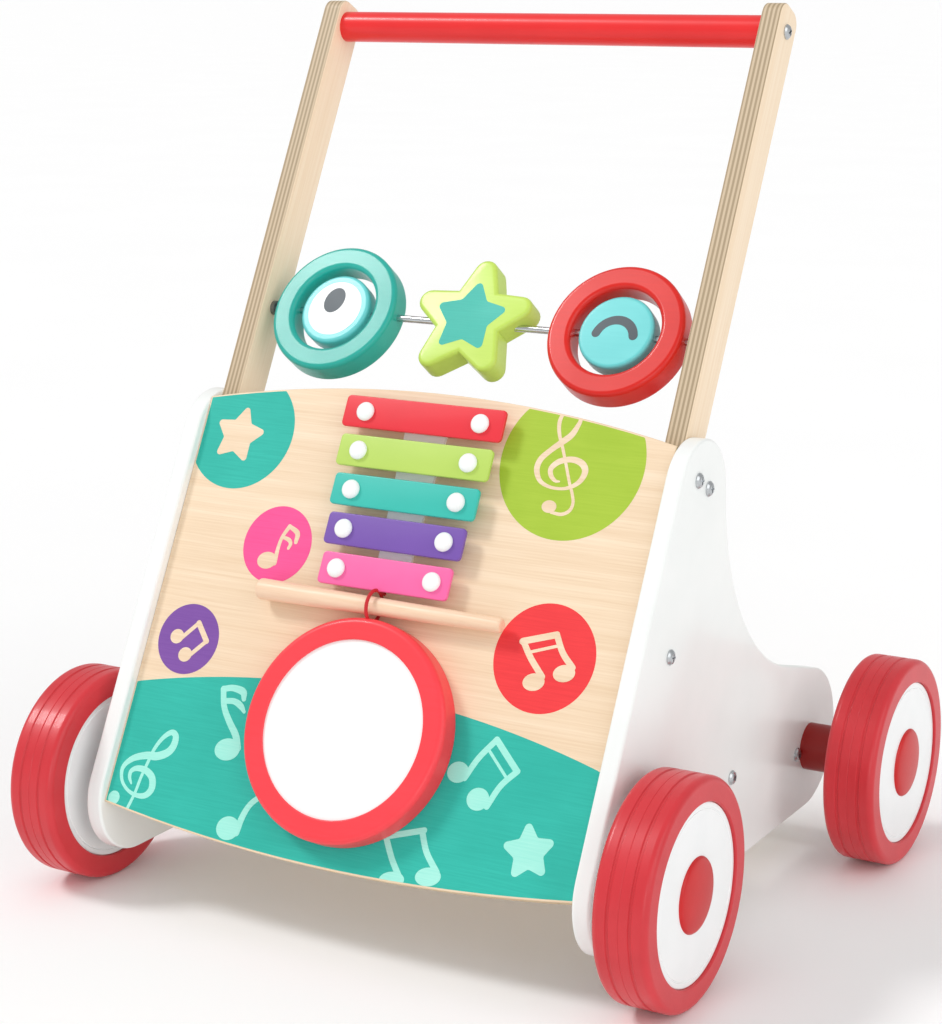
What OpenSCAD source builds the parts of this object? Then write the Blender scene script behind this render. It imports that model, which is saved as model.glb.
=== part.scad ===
// Wooden push-along baby walker with a musical activity panel.
// Frame: +X to the right seen from the front, -Y forwards, +Z up.
// Origin: on the ground, midway between the two axles, on the centre plane.
// The uprights and the front panel share one leaning plane. In that leaning
// frame x runs across, y runs to the rear (depth) and z runs up the slope.

/* [Overall] */
// Distance between the inner faces of the two side panels
inner_width = 293; // [244:1:352]
// Distance between the front and rear axles
wheelbase = 244; // [203:1:293]
// Height of the handle bar's axis above the ground
handle_height = 475; // [430:1:570]
// Lean of the uprights and the front panel back from the vertical, in degrees
lean = 27.4; // [24:0.1:31]

/* [Side panels] */
// Thickness of each side panel
side_t = 10; // [8:0.5:12]
// Clearance of the side panels' lower edge above the ground
ground_gap = 23; // [18:1:28]
// How far the side panels stand out in front of the front panel
side_lip = 5.2; // [3:0.1:7]
// Radius of the lower front corner
front_corner_r = 33; // [28:1:38]
// Radius of the rounded top
top_r = 29.5; // [26:0.5:34]
// Height of the rounded top's centre
top_centre_z = 242.5; // [225:0.5:260]
// Radius of the concave rear edge
rear_curve_r = 129; // [115:1:132]
// Radius of the rear lobe that holds the rear axle
lobe_r = 42; // [36:1:44]

/* [Front panel] */
// Thickness of the plywood front panel
panel_t = 9; // [7:0.5:12]
// Slope distance from the ground to the panel's lower corners
panel_low = 62; // [58:1:66]
// Slope distance from the ground to the panel's upper corners
panel_high = 299.5; // [290:0.5:306]
// Rise of the arched top edge at its middle
top_rise = 15; // [8:0.5:20]
// Drop of the arched bottom edge at its middle
bottom_drop = 10.5; // [6:0.5:14]

/* [Uprights and handle] */
// Thickness of each upright, across the walker
upright_t = 11.5; // [10:0.5:14]
// Width of each upright, front to rear
upright_w = 24.5; // [22:0.5:28]
// Slope distance from the ground to the uprights' lower ends
upright_foot = 172; // [160:1:180]
// Rounding of the uprights' corners
upright_corner = 8; // [4:0.5:10]
// Diameter of the handle bar
bar_d = 17.6; // [15:0.1:21.1]
// Depth of the sockets that take the bar's ends
bar_socket = 4; // [3:0.5:6]

/* [Wheels] */
// Outer diameter of the tyres
wheel_d = 120; // [112:1:126]
// Width of the tyres
tyre_w = 30; // [25:1:34]
// Diameter of the white wheel discs
disc_d = 94; // [84:1:98]
// Diameter of the red hub caps
hub_d = 39.6; // [36:0.2:44]
// Diameter of the steel axles
axle_d = 8; // [6.7:0.1:9.6]
// Length of the spacers between the side panels and the front wheels
front_spacer = 8.4; // [6:0.2:14]
// Length of the spacers between the side panels and the rear wheels
rear_spacer = 30.4; // [24:0.2:36]
// Diameter of the spacers
spacer_d = 28; // [22:1:32]

/* [Spinners] */
// Slope distance from the ground to the spinner rod
rod_slope = 362; // [358:1:380]
// Diameter of the spinner rod
rod_d = 4; // [3.4:0.1:4.8]
// Outer diameter of the two spinning rings
ring_d = 79; // [66:1:82]
// Diameter of the hole in each ring
ring_hole_d = 52.4; // [50:0.2:56]
// Diameter of the discs inside the rings
eye_d = 43.6; // [36.4:0.2:44.6]
// Thickness of the rings and the star
spinner_t = 16; // [12:0.5:18]
// Thickness of the discs inside the rings
eye_t = 12; // [9:0.5:14]
// Distance of the rings' centres from the centre plane
ring_x = 89.5; // [87:0.5:92]
// Angle at which the spinners rest, faces turned up from the horizontal
rest_tilt = 36; // [0:1:60]
// Radius of the circle through the star's rounded tips
star_r = 37; // [31:0.5:40]

/* [Xylophone] */
// Width of the longest key across the walker
key_long = 100; // [84:1:108]
// Width of the shortest key
key_short = 81; // [68:1:84]
// Height of a key along the slope
key_h = 17.8; // [15:0.1:19.4]
// Slope distance from one key's centre to the next
key_pitch = 22.1; // [21:0.1:22.4]
// Slope distance from the ground to the top key's centre
key_top = 297.4; // [296:0.1:299]
// Thickness of a metal key
key_t = 2.5; // [2:0.1:3.5]
// Height of the pads that hold the keys off the panel
pad_h = 6.5; // [5:0.1:8]

/* [Drum and mallet] */
// Outer diameter of the drum's ring
drum_d = 121; // [101:1:121]
// Diameter of the drum skin that shows
skin_d = 96.4; // [80:0.2:97]
// Height of the drum's ring off the panel
drum_h = 14; // [11.6:0.2:17]
// Slope distance from the ground to the drum's centre
drum_s = 124; // [120:1:124]
// Length of the mallet
mallet_l = 152; // [126:1:156]
// Diameter of the mallet's thick end
mallet_thick = 11.8; // [10:0.1:12]
// Diameter of the mallet's thin end
mallet_thin = 7.9; // [6.6:0.1:9.4]
// Slope distance from the ground to the mallet's axis
mallet_s = 192; // [191.8:0.1:192.2]

/* [Hidden] */
$fn = 72;
// clearances
run_gap = 0.3;            // between a moving piece and the piece it turns or slides on
seat_gap = 0.05;          // between two fixed pieces that fit into each other
face_gap = 0.4;           // between the flat faces of a moving piece and a fixed one
cut = 1;                  // how far a cutter runs past the face it opens
// side to side
inner_x = inner_width / 2;
outer_x = inner_x + side_t;
upright_in_x = inner_x - upright_t;
// wheels and axles
axle_z = wheel_d / 2;
axle_y = wheelbase / 2;
washer_t = 1;
washer_r = axle_d;
disc_inset = 1.5;         // tyre side face to disc face
tyre_round = 7;
hub_recess_r = 14;
hub_recess_depth = 12;
hub_dome = 2.6;
hub_wall = 2.2;
retainer_t = 5;
retainer_r = axle_d / 2 + 4;
// leaning frame
foot_y = -axle_y - 58.3;
rise = 1 / cos(lean);
bar_depth = upright_w / 2;
bar_slope = (handle_height + bar_depth * sin(lean)) / cos(lean);
upright_top = bar_slope + 14;
bar_y = foot_y + bar_slope * sin(lean) + bar_depth * cos(lean);
rod_y = foot_y + rod_slope * sin(lean) + bar_depth * cos(lean);
rod_z = rod_slope * cos(lean) - bar_depth * sin(lean);
// screws: diameters and the depth that each one bites past the outer piece
screw_d = 3.6;
screw_head_r = 4.1;
screw_head_h = 2.2;
screw_bite = 9;
upright_screw_slopes = [286, 195];   // slope distances of the upper pair and the lower screw
upright_screw_depths = [5, 19.5];    // distances behind the uprights' front edge
// stretchers
mid_y = axle_y - 114;
mid_z = 75;
rear_y = axle_y - spacer_d / 2 - screw_head_r - 0.6;   // its screw heads clear the rear spacers
rear_z = 60;
stretcher_w = 18;
stretcher_h = 32;
edge_screw_s = 80;                   // slope distance of the screw in the panel's edge
// spinner rod
rod_socket = 7;
collar_r = 4.2;
collar_t = 2.5;
// keys
key_n = 5;
key_corner = 2.5;
pin_inset = 14;                      // pin to key end on the longest key
pin_inset_short = 10.6;              // and on the shortest
pin_r = 1.9;
pin_head_r = 5.7;
pin_head_h = 3.6;
pad_r = 4.6;
strip_t = 2;
strip_wide = 27;
strip_narrow = 19;
// drum
lip_t = 1.6;
skin_t = 0.8;
skin_tuck = 2.2;
drum_round = 4;
drum_wall = (drum_d - skin_d) / 2;
// mallet and its loop
mallet_depth = panel_t + 7.6;
loop_x = -2;
loop_cord = 2;
mallet_end_round = 1.6;
mallet_at_loop = mallet_thick + (mallet_thin - mallet_thick) * (loop_x + mallet_l / 2) / mallet_l;
loop_r = mallet_at_loop / 2 + run_gap + loop_cord / 2;
knot_r = 3.2;

// ---------------------------------------------------------------- helpers

// Points along an arc, from angle a0 to a1
function arc(c, r, a0, a1, n) =
    [for (i = [0:n]) let (a = a0 + (a1 - a0) * i / n) [c[0] + r * cos(a), c[1] + r * sin(a)]];

// Linear blend from a to b
function mix(a, b, t) = a + (b - a) * t;

// Puts the leaning frame's pieces in place
module leaning() {
    translate([0, foot_y, 0])
        rotate([-lean, 0, 0])
            children();
}

// Makes a copy on each side of the centre plane
module both_sides() {
    children();
    mirror([1, 0, 0]) children();
}

// A cylinder along +X from x0 to x1
module bar_x(x0, x1, r) {
    translate([x0, 0, 0])
        rotate([0, 90, 0])
            cylinder(h = x1 - x0, r = r);
}

// A plate standing across X, drawn as (y, z) in 2D
module plate_x(x0, t) {
    translate([x0, 0, 0])
        rotate([90, 0, 90])
            linear_extrude(t)
                children();
}

// A slab on the leaning plane, drawn as (x, slope), reaching t forwards from depth d
module slab(d, t) {
    translate([0, d, 0])
        rotate([90, 0, 0])
            linear_extrude(t)
                children();
}

// A turned piece standing forwards from the leaning plane at (x, slope)
module turned_out(x, s) {
    translate([x, 0, s])
        rotate([90, 0, 0])
            children();
}

// A rectangle with round corners, centred
module round_rect(w, h, r) {
    difference() {
        square([w, h], center = true);
        for (sx = [-1, 1], sy = [-1, 1]) {
            translate([sx * (w / 2 - r), sy * (h / 2 - r)])
                difference() {
                    translate([sx > 0 ? 0 : -2 * r, sy > 0 ? 0 : -2 * r]) square(2 * r);
                    circle(r);
                }
        }
    }
}

// A screw along X: its pan head outside the face at x, its shank reaching inwards
module screw_x(x, reach) {
    slot_w = 0.9;
    slot_l = 4.2;
    slot_depth = 1.2;
    shank_r = screw_d / 2;
    difference() {
        translate([x, 0, 0])
            rotate([0, 90, 0])
                rotate_extrude()
                    polygon([
                        [0, -reach], [shank_r, -reach], [shank_r, 0], [screw_head_r, 0],
                        [screw_head_r, screw_head_h * 0.3], [screw_head_r * 0.8, screw_head_h * 0.75],
                        [screw_head_r * 0.55, screw_head_h], [0, screw_head_h]
                    ]);
        for (a = [20, 110]) {
            translate([x + screw_head_h - slot_depth, 0, 0])
                rotate([a, 0, 0])
                    translate([0, -slot_l / 2, -slot_w / 2])
                        cube([2 * slot_depth, slot_l, slot_w]);
        }
    }
}

// The hole that a screw's shank runs in
module screw_hole(x, reach) {
    bar_x(x - reach - seat_gap, x + cut, screw_d / 2 + seat_gap);
}

// Places for the screws that hold each upright to its side panel
module at_upright_screws() {
    for (d = upright_screw_depths) {
        leaning() translate([0, d, upright_screw_slopes[0]]) children();
    }
    leaning() translate([0, upright_screw_depths[1] - 2, upright_screw_slopes[1]]) children();
}

// Places for the screws that go into the stretchers and the front panel's edge
module at_frame_screws() {
    translate([0, mid_y, mid_z]) children();
    translate([0, rear_y, rear_z]) children();
    leaning() translate([0, -panel_t / 2, edge_screw_s]) children();
}

// ---------------------------------------------------------------- side panels

// Point on the side panels' straight front edge at height z
function front_edge_y(z) = foot_y + z * tan(lean) - (panel_t + side_lip) * rise;

front_c = [front_edge_y(ground_gap + front_corner_r) + front_corner_r * rise, ground_gap + front_corner_r];
top_c = [front_edge_y(top_centre_z) + top_r * rise, top_centre_z];
rear_c = [top_c[0] + top_r + rear_curve_r, top_centre_z];
lobe_c = [axle_y - 1, ground_gap + lobe_r];
// The straight run between the concave curve and the lobe touches both circles
run_vec = lobe_c - rear_c;
run_base = atan2(run_vec[1], run_vec[0]);
run_turn = acos((rear_curve_r + lobe_r) / norm(run_vec));

module side_profile() {
    polygon(concat(
        arc(front_c, front_corner_r, 270, 180 - lean, 20),
        arc(top_c, top_r, 180 - lean, 0, 24),
        arc(rear_c, rear_curve_r, 180, 360 + run_base - run_turn, 24),
        arc(lobe_c, lobe_r, 180 + run_base - run_turn, -90, 24)
    ));
}

module side_panel() {
    color("#EEF0EE")
        difference() {
            plate_x(inner_x, side_t) side_profile();
            at_upright_screws() screw_hole(outer_x, 2 * side_t);
            at_frame_screws() screw_hole(outer_x, 2 * side_t);
            for (y = [-axle_y, axle_y]) {
                translate([0, y, axle_z])
                    bar_x(inner_x - cut, outer_x + cut, axle_d / 2 + seat_gap);
            }
        }
}

module side_panel_right() {
    side_panel();
}

module side_panel_left() {
    mirror([1, 0, 0]) side_panel();
}

module upright_screws() {
    color("#C8CCCE")
        both_sides() at_upright_screws() screw_x(outer_x, side_t + screw_bite);
}

module frame_screws() {
    color("#C8CCCE")
        both_sides() at_frame_screws() screw_x(outer_x, side_t + 2 * screw_bite);
}

// ---------------------------------------------------------------- uprights and handle

module upright() {
    len = upright_top - upright_foot;
    color("#EBD3B0")
        difference() {
            leaning()
                translate([0, upright_w / 2, upright_foot + len / 2])
                    plate_x(upright_in_x, upright_t) round_rect(upright_w, len, upright_corner);
            at_upright_screws() screw_hole(inner_x, screw_bite);
            leaning() translate([0, bar_depth, bar_slope]) {
                bar_x(upright_in_x - cut, upright_in_x + bar_socket, bar_d / 2 + seat_gap);
                screw_hole(inner_x, upright_t);
            }
            leaning() translate([0, bar_depth, rod_slope])
                bar_x(upright_in_x - cut, upright_in_x + rod_socket, rod_d / 2 + seat_gap);
        }
}

module upright_right() {
    upright();
}

module upright_left() {
    mirror([1, 0, 0]) upright();
}

module handle_bar() {
    end = upright_in_x + bar_socket - seat_gap;
    color("#E02626")
        translate([0, bar_y, handle_height])
            difference() {
                bar_x(-end, end, bar_d / 2);
                both_sides() bar_x(end - 3 * screw_bite, end + cut, screw_d / 2 + seat_gap);
            }
}

module handle_screws() {
    color("#C8CCCE")
        both_sides()
            translate([0, bar_y, handle_height])
                screw_x(inner_x, upright_t + 2 * screw_bite);
}

// ---------------------------------------------------------------- front panel and stretchers

module panel_outline() {
    half = inner_x - seat_gap;
    top_arc_r = (half * half + top_rise * top_rise) / (2 * top_rise);
    low_arc_r = (half * half + bottom_drop * bottom_drop) / (2 * bottom_drop);
    intersection() {
        translate([-half, 0]) square([2 * half, panel_high + 2 * top_rise]);
        translate([0, panel_high + top_rise - top_arc_r]) circle(top_arc_r, $fn = 360);
        translate([0, panel_low - bottom_drop + low_arc_r]) circle(low_arc_r, $fn = 360);
    }
}

module front_panel() {
    color("#EAD3B4")
        difference() {
            leaning()
                difference() {
                    slab(0, panel_t) panel_outline();
                    for (k = [0:key_n - 1], side = [-1, 1]) {
                        turned_out(side * key_pin_x(k), key_s(k))
                            translate([0, 0, -cut])
                                cylinder(h = panel_t + 2 * cut, r = pin_r + seat_gap);
                    }
                    turned_out(loop_x, mallet_s + loop_r)
                        translate([0, 0, -cut])
                            cylinder(h = panel_t + 2 * cut, r = loop_cord / 2 + seat_gap);
                }
            both_sides() at_frame_screws() bar_x(inner_x - 2 * screw_bite, inner_x + cut, screw_d / 2 + seat_gap);
        }
}

module stretcher(y, z) {
    half = inner_x - seat_gap;
    color("#E2C7A0")
        difference() {
            translate([-half, y - stretcher_w / 2, z - stretcher_h / 2])
                cube([2 * half, stretcher_w, stretcher_h]);
            both_sides()
                translate([0, y, z])
                    bar_x(inner_x - 2 * screw_bite - seat_gap, inner_x + cut, screw_d / 2 + seat_gap);
        }
}

module middle_stretcher() {
    stretcher(mid_y, mid_z);
}

module rear_stretcher() {
    stretcher(rear_y, rear_z);
}

// ---------------------------------------------------------------- wheels and axles

function wheel_in_x(spacer) = outer_x + spacer + washer_t + face_gap;
function axle_half(spacer) = wheel_in_x(spacer) + tyre_w - disc_inset - hub_recess_depth + face_gap + retainer_t + 1;

module axle(y, spacer) {
    half = axle_half(spacer);
    color("#BFC4C7")
        translate([0, y, axle_z])
            bar_x(-half, half, axle_d / 2);
}

module front_axle() {
    axle(-axle_y, front_spacer);
}

module rear_axle() {
    axle(axle_y, rear_spacer);
}

// A pair of tubes on one axle, from the side panels out
module spacers(y, length) {
    color("#C8242A")
        both_sides()
            translate([0, y, axle_z])
                difference() {
                    bar_x(outer_x, outer_x + length, spacer_d / 2);
                    bar_x(outer_x - cut, outer_x + length + cut, axle_d / 2 + seat_gap);
                }
}

module front_spacers() {
    spacers(-axle_y, front_spacer);
}

module rear_spacers() {
    spacers(axle_y, rear_spacer);
}

module washer(x, r, t) {
    difference() {
        bar_x(x, x + t, r);
        bar_x(x - cut, x + t + cut, axle_d / 2 + seat_gap);
    }
}

module wheel_washers() {
    color("#BFC4C7")
        both_sides() {
            translate([0, -axle_y, axle_z]) washer(outer_x + front_spacer, washer_r, washer_t);
            translate([0, axle_y, axle_z]) washer(outer_x + rear_spacer, washer_r, washer_t);
        }
}

// Caps pressed on the axles' ends, inside the hubs, that keep the wheels on
module axle_retainers() {
    color("#BFC4C7")
        both_sides() {
            translate([0, -axle_y, axle_z])
                washer(axle_half(front_spacer) - 1 - retainer_t, retainer_r, retainer_t);
            translate([0, axle_y, axle_z])
                washer(axle_half(rear_spacer) - 1 - retainer_t, retainer_r, retainer_t);
        }
}

// Half section of the tyre: radius to the right, width up
module tyre_section() {
    r0 = disc_d / 2 + seat_gap;
    r1 = wheel_d / 2;
    polygon(concat(
        [[r0, 0]],
        arc([r1 - tyre_round, tyre_round], tyre_round, -90, 0, 8),
        arc([r1 - tyre_round, tyre_w - tyre_round], tyre_round, 0, 90, 8),
        [[r0, tyre_w]]
    ));
}

module place_wheel(side, y, spacer) {
    mirror([side > 0 ? 0 : 1, 0, 0])
        translate([wheel_in_x(spacer), y, axle_z])
            rotate([0, 90, 0])
                children();
}

module tyre() {
    color("#D8343A")
        rotate_extrude()
            tyre_section();
}

module wheel_disc() {
    color("#F4F6F6")
        difference() {
            translate([0, 0, disc_inset]) cylinder(h = tyre_w - 2 * disc_inset, r = disc_d / 2);
            cylinder(h = tyre_w, r = axle_d / 2 + run_gap);
            translate([0, 0, tyre_w - disc_inset - hub_recess_depth])
                cylinder(h = tyre_w, r = hub_recess_r + seat_gap);
        }
}

// A shallow domed cap with a round spigot that presses into the disc
module hub_cap() {
    face_z = tyre_w - disc_inset + seat_gap;
    hub_r = hub_d / 2;
    dome_r = (hub_r * hub_r + hub_dome * hub_dome) / (2 * hub_dome);
    color("#D0252B")
        difference() {
            union() {
                intersection() {
                    translate([0, 0, face_z]) cylinder(h = hub_dome + cut, r = hub_r);
                    translate([0, 0, face_z + hub_dome - dome_r + 0.6]) sphere(dome_r, $fn = 180);
                }
                translate([0, 0, face_z - hub_recess_depth / 3])
                    cylinder(h = hub_recess_depth / 3, r = hub_recess_r);
            }
            translate([0, 0, face_z - hub_recess_depth])
                cylinder(h = hub_recess_depth, r = hub_recess_r - hub_wall);
        }
}

module front_right_tyre() { place_wheel(1, -axle_y, front_spacer) tyre(); }
module front_right_disc() { place_wheel(1, -axle_y, front_spacer) wheel_disc(); }
module front_right_hub_cap() { place_wheel(1, -axle_y, front_spacer) hub_cap(); }
module front_left_tyre() { place_wheel(-1, -axle_y, front_spacer) tyre(); }
module front_left_disc() { place_wheel(-1, -axle_y, front_spacer) wheel_disc(); }
module front_left_hub_cap() { place_wheel(-1, -axle_y, front_spacer) hub_cap(); }
module rear_right_tyre() { place_wheel(1, axle_y, rear_spacer) tyre(); }
module rear_right_disc() { place_wheel(1, axle_y, rear_spacer) wheel_disc(); }
module rear_right_hub_cap() { place_wheel(1, axle_y, rear_spacer) hub_cap(); }
module rear_left_tyre() { place_wheel(-1, axle_y, rear_spacer) tyre(); }
module rear_left_disc() { place_wheel(-1, axle_y, rear_spacer) wheel_disc(); }
module rear_left_hub_cap() { place_wheel(-1, axle_y, rear_spacer) hub_cap(); }

// ---------------------------------------------------------------- spinners

module spinner_rod() {
    end = upright_in_x + rod_socket - seat_gap;
    color("#BFC4C7")
        translate([0, rod_y, rod_z])
            bar_x(-end, end, rod_d / 2);
}

module rod_collars() {
    color("#9A9FA3")
        both_sides()
            translate([0, rod_y, rod_z])
                difference() {
                    bar_x(upright_in_x - collar_t, upright_in_x, collar_r);
                    bar_x(upright_in_x - collar_t - cut, upright_in_x + cut, rod_d / 2 + seat_gap);
                }
}

// A piece on the rod at x, turned so that its drawing plane faces forwards and up
module on_rod(x) {
    translate([x, rod_y, rod_z])
        rotate([90 - rest_tilt, 0, 0])
            difference() {
                children();
                bar_x(-ring_d, ring_d, rod_d / 2 + run_gap);
            }
}

module spinner_ring() {
    edge = 1.6;
    r0 = ring_hole_d / 2;
    r1 = ring_d / 2;
    h = spinner_t / 2;
    rotate_extrude()
        polygon([
            [r0 + edge, -h], [r1 - edge, -h], [r1, -h + edge], [r1, h - edge],
            [r1 - edge, h], [r0 + edge, h], [r0, h - edge], [r0, -h + edge]
        ]);
}

module eye_blank() {
    edge = 1.2;
    r = eye_d / 2;
    h = eye_t / 2;
    rotate_extrude()
        polygon([[0, -h], [r - edge, -h], [r, -h + edge], [r, h - edge], [r - edge, h], [0, h]]);
}

// Rounded five-pointed star: an arc round each tip, a valley point between arms.
// The arms' flanks run from the valleys and touch the tips' arcs.
module star_outline() {
    tip_r = 7;
    valley_r = star_r * 0.57;
    reach = star_r - tip_r;
    flank = [valley_r * cos(36) - reach, valley_r * sin(36)];
    half_turn = atan2(flank[1], flank[0]) - acos(tip_r / norm(flank));
    polygon([
        for (i = [0:4])
            let (a = 90 + 72 * i, tip = [reach * cos(a), reach * sin(a)])
                for (p = concat(
                    arc(tip, tip_r, a - half_turn, a + half_turn, 8),
                    [[valley_r * cos(a + 36), valley_r * sin(a + 36)]]
                )) p
    ]);
}

module ring_left() {
    color("#34C4B4") on_rod(-ring_x) spinner_ring();
}

module eye_disc() {
    color("#70D8CC") on_rod(-ring_x) eye_blank();
}

module star() {
    color("#C0DE64")
        on_rod(0)
            translate([0, 0, -spinner_t / 2])
                linear_extrude(spinner_t)
                    star_outline();
}

module ring_right() {
    color("#E02626") on_rod(ring_x) spinner_ring();
}

module wink_disc() {
    color("#70D8CC") on_rod(ring_x) eye_blank();
}

// ---------------------------------------------------------------- xylophone

function key_len(k) = mix(key_long, key_short, k / (key_n - 1));
function key_s(k) = key_top - k * key_pitch;
function key_pin_x(k) = key_len(k) / 2 - mix(pin_inset, pin_inset_short, k / (key_n - 1));

module xylophone_base() {
    top = key_top + key_h / 2 - 2;
    low = key_s(key_n - 1) - key_h / 2 + 2;
    color("#F2F4F2")
        leaning()
            slab(-panel_t, strip_t)
                polygon([
                    [-strip_narrow / 2, low], [strip_narrow / 2, low],
                    [strip_wide / 2, top], [-strip_wide / 2, top]
                ]);
}

module key(k) {
    leaning()
        difference() {
            translate([0, 0, key_s(k)])
                slab(-panel_t - pad_h, key_t)
                    round_rect(key_len(k), key_h, key_corner);
            for (side = [-1, 1]) {
                turned_out(side * key_pin_x(k), key_s(k))
                    translate([0, 0, panel_t])
                        cylinder(h = pad_h + key_t + cut, r = pin_r + seat_gap);
            }
        }
}

module key_red() { color("#F0444C") key(0); }
module key_lime() { color("#B4D84A") key(1); }
module key_teal() { color("#35BBA7") key(2); }
module key_purple() { color("#6E4AA8") key(3); }
module key_pink() { color("#FB62A8") key(4); }

// Domed pins, each with a shank through key, pad and panel
module key_pins() {
    head_r = (pin_head_r * pin_head_r + pin_head_h * pin_head_h) / (2 * pin_head_h);
    color("#F6F7F7")
        leaning()
            for (k = [0:key_n - 1], side = [-1, 1]) {
                turned_out(side * key_pin_x(k), key_s(k)) {
                    cylinder(h = panel_t + pad_h + key_t + 1, r = pin_r);
                    translate([0, 0, panel_t + pad_h + key_t])
                        intersection() {
                            cylinder(h = pin_head_h, r = pin_head_r);
                            translate([0, 0, pin_head_h - head_r]) sphere(head_r);
                        }
                }
            }
}

module key_pads() {
    color("#D9DCDA")
        leaning()
            for (k = [0:key_n - 1], side = [-1, 1]) {
                turned_out(side * key_pin_x(k), key_s(k))
                    translate([0, 0, panel_t])
                        difference() {
                            cylinder(h = pad_h, r = pad_r);
                            translate([0, 0, -cut]) cylinder(h = pad_h + 2 * cut, r = pin_r + seat_gap);
                        }
            }
}

// ---------------------------------------------------------------- drum

module on_drum() {
    leaning()
        turned_out(0, drum_s)
            translate([0, 0, panel_t])
                children();
}

module drum_ring() {
    r0 = skin_d / 2;
    r1 = drum_d / 2;
    seat_r = r0 + skin_tuck;
    seat_z = drum_h - lip_t;
    color("#F04048")
        on_drum()
            rotate_extrude()
                polygon(concat(
                    [[seat_r, 0]],
                    arc([r1 - 1, 1], 1, -90, 0, 4),
                    arc([r1 - drum_round, drum_h - drum_round], drum_round, 0, 90, 8),
                    [[r0, drum_h], [r0, seat_z], [seat_r, seat_z]]
                ));
}

module drum_skin() {
    color("#FAFAF8")
        on_drum()
            translate([0, 0, drum_h - lip_t - skin_t])
                cylinder(h = skin_t, r = skin_d / 2 + skin_tuck - seat_gap);
}

// Hidden hoop that holds the skin against the ring's lip
module drum_hoop() {
    r = skin_d / 2 + skin_tuck - seat_gap;
    color("#E2C7A0")
        on_drum()
            difference() {
                cylinder(h = drum_h - lip_t - skin_t, r = r);
                translate([0, 0, -cut]) cylinder(h = drum_h + cut, r = r - 6);
            }
}

// ---------------------------------------------------------------- mallet

module mallet() {
    r0 = mallet_thick / 2;
    r1 = mallet_thin / 2;
    e = mallet_end_round;
    color("#DCB496")
        leaning()
            translate([-mallet_l / 2, -mallet_depth, mallet_s])
                rotate([0, 90, 0])
                    rotate_extrude()
                        polygon([
                            [0, 0], [r0 - e, 0], [r0, e],
                            [r1, mallet_l - e / 2], [r1 - e / 2, mallet_l], [0, mallet_l]
                        ]);
}

// Elastic loop round the mallet, its tail through the panel to a knot behind
module mallet_loop() {
    color("#D02028")
        leaning()
            union() {
                translate([loop_x, -mallet_depth, mallet_s])
                    rotate([0, 90, 0])
                        rotate_extrude()
                            translate([loop_r, 0]) circle(loop_cord / 2, $fn = 24);
                turned_out(loop_x, mallet_s + loop_r)
                    translate([0, 0, -1.5]) cylinder(h = mallet_depth + 1.5, r = loop_cord / 2);
                turned_out(loop_x, mallet_s + loop_r)
                    translate([0, 0, -knot_r - 0.2]) sphere(knot_r);
            }
}

// ---------------------------------------------------------------- assembly

side_panel_left();
side_panel_right();
front_panel();
upright_left();
upright_right();
handle_bar();
handle_screws();
upright_screws();
frame_screws();
middle_stretcher();
rear_stretcher();
front_axle();
rear_axle();
front_spacers();
rear_spacers();
wheel_washers();
axle_retainers();
front_left_tyre();
front_left_disc();
front_left_hub_cap();
front_right_tyre();
front_right_disc();
front_right_hub_cap();
rear_left_tyre();
rear_left_disc();
rear_left_hub_cap();
rear_right_tyre();
rear_right_disc();
rear_right_hub_cap();
spinner_rod();
rod_collars();
ring_left();
eye_disc();
star();
ring_right();
wink_disc();
xylophone_base();
key_red();
key_lime();
key_teal();
key_purple();
key_pink();
key_pins();
key_pads();
drum_ring();
drum_skin();
drum_hoop();
mallet();
mallet_loop();
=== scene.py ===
"""Looks of a wooden baby walker with an activity panel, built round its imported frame.

Places come from the frame. Lengths in the profiles and prints are in millimetres, and go to metres once,
as they are placed.
"""
import bmesh
import bpy
import numpy as np
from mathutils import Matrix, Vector


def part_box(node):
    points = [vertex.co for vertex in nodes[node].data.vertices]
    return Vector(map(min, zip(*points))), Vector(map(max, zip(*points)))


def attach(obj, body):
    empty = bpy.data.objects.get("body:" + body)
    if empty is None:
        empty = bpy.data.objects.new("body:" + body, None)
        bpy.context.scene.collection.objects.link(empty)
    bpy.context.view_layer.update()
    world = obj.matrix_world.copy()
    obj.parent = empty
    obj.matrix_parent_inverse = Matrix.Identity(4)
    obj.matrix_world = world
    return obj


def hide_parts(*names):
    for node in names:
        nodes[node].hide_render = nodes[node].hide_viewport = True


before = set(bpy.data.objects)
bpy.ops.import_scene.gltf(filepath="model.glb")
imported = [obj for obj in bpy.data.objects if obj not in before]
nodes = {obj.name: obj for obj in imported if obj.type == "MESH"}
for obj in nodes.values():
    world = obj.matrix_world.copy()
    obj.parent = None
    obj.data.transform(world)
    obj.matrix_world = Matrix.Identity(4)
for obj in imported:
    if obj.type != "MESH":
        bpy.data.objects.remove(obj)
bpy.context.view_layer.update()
MM = 0.001
ACROSS = np.array([1.0, 0.0, 0.0])


# ---------------------------------------------------------------- reading the frame

def points(node):
    """Corner points of a CAD node, one row each."""
    data = nodes[node].data
    co = np.empty(len(data.vertices) * 3, np.float32)
    data.vertices.foreach_get("co", co)
    return co.reshape(-1, 3).astype(float)


def triangles(node):
    """Triangles of a CAD node as rows of three point numbers."""
    data = nodes[node].data
    data.calc_loop_triangles()
    tri = np.empty(len(data.loop_triangles) * 3, np.int32)
    data.loop_triangles.foreach_get("vertices", tri)
    return tri.reshape(-1, 3)


def unit(v):
    """A direction of length one: each row over its own length."""
    v = np.asarray(v, float)
    return v / np.linalg.norm(v, axis=-1, keepdims=True)


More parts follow.
